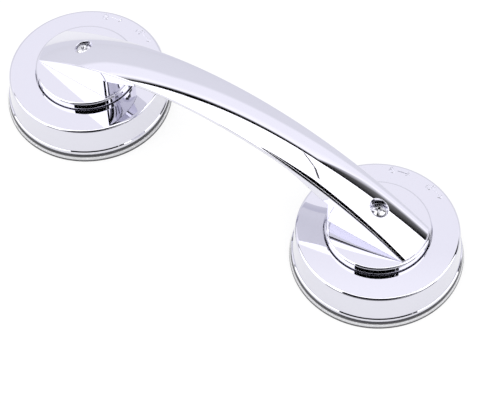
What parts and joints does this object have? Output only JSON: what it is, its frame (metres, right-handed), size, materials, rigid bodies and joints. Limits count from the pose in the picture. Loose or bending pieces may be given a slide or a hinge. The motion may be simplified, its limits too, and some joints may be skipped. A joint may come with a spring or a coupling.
{
  "type": "suction grab bar",
  "caption": "Arched chrome grab handle on round twist-lock suction cups, whose locking rings turn to lift the middle of clear suction discs.",
  "frame": {"origin": "on the wall surface, midway between the two cups (bottom centre of the bounding box)", "axes": "+X along the handle towards the right cup, +Y across the handle, +Z away from the wall"},
  "size_m": [0.263, 0.0858, 0.0598],
  "materials": {
    "handle_chrome": "bright mirror chrome plate",
    "underside_chrome": "bright chrome plate, slightly soft",
    "boss_chrome": "bright mirror chrome plate",
    "ring_chrome": "bright mirror chrome plate with a lavender cast",
    "clear_rubber": "clear soft rubber, smooth and slightly milky",
    "screw_steel": "nickel-plated steel, polished",
    "inner_steel": "plain stainless steel",
    "insert_brass": "machined brass",
    "sleeve_plastic": "natural white acetal",
    "plate_plastic": "grey moulded plastic, fine grain",
    "follower_plastic": "black acetal",
    "washer_plastic": "white PTFE"
  },
  "bodies": {
    "root": {"handle_shell": "handle_chrome", "handle_underside": "underside_chrome", "left_boss": "boss_chrome", "left_inner_boss_screw": "inner_steel", "left_outer_boss_screw": "inner_steel", "left_threaded_insert": "insert_brass", "left_handle_screw": "screw_steel", "left_handle_washer": "screw_steel", "left_pressure_plate": "plate_plastic", "left_glide_washer": "washer_plastic", "left_suction_disc": "clear_rubber", "right_boss": "boss_chrome", "right_inner_boss_screw": "inner_steel", "right_outer_boss_screw": "inner_steel", "right_threaded_insert": "insert_brass", "right_handle_screw": "screw_steel", "right_handle_washer": "screw_steel", "right_pressure_plate": "plate_plastic", "right_glide_washer": "washer_plastic", "right_suction_disc": "clear_rubber"},
    "left_ring": {"left_locking_ring": "ring_chrome", "left_cam_sleeve": "sleeve_plastic"},
    "left_lift": {"left_lift_follower": "follower_plastic", "left_pull_stud": "inner_steel", "left_stud_nut": "inner_steel", "left_stud_washer": "inner_steel"},
    "right_ring": {"right_locking_ring": "ring_chrome", "right_cam_sleeve": "sleeve_plastic"},
    "right_lift": {"right_lift_follower": "follower_plastic", "right_pull_stud": "inner_steel", "right_stud_nut": "inner_steel", "right_stud_washer": "inner_steel"}
  },
  "joints": [
    {"name": "left_ring_turn", "type": "hinge", "parent": "root", "child": "left_ring", "pos_m": [-0.08865, 0, 0.012], "axis": [0, 0, -1], "range_deg": [0, 90]},
    {"name": "left_stud_lift", "type": "slide", "parent": "root", "child": "left_lift", "axis": [0, 0, 1], "range_m": [0, 0.00251], "deforming": ["left_suction_disc"]},
    {"name": "right_ring_turn", "type": "hinge", "parent": "root", "child": "right_ring", "pos_m": [0.08865, 0, 0.012], "axis": [0, 0, -1], "range_deg": [0, 90]},
    {"name": "right_stud_lift", "type": "slide", "parent": "root", "child": "right_lift", "axis": [0, 0, 1], "range_m": [0, 0.00251], "deforming": ["right_suction_disc"]}
  ],
  "couplings": [
    {"joint": "left_stud_lift", "follows": "left_ring_turn", "m_per_rad": 0.0015915},
    {"joint": "right_stud_lift", "follows": "right_ring_turn", "m_per_rad": 0.0015915}
  ]
}
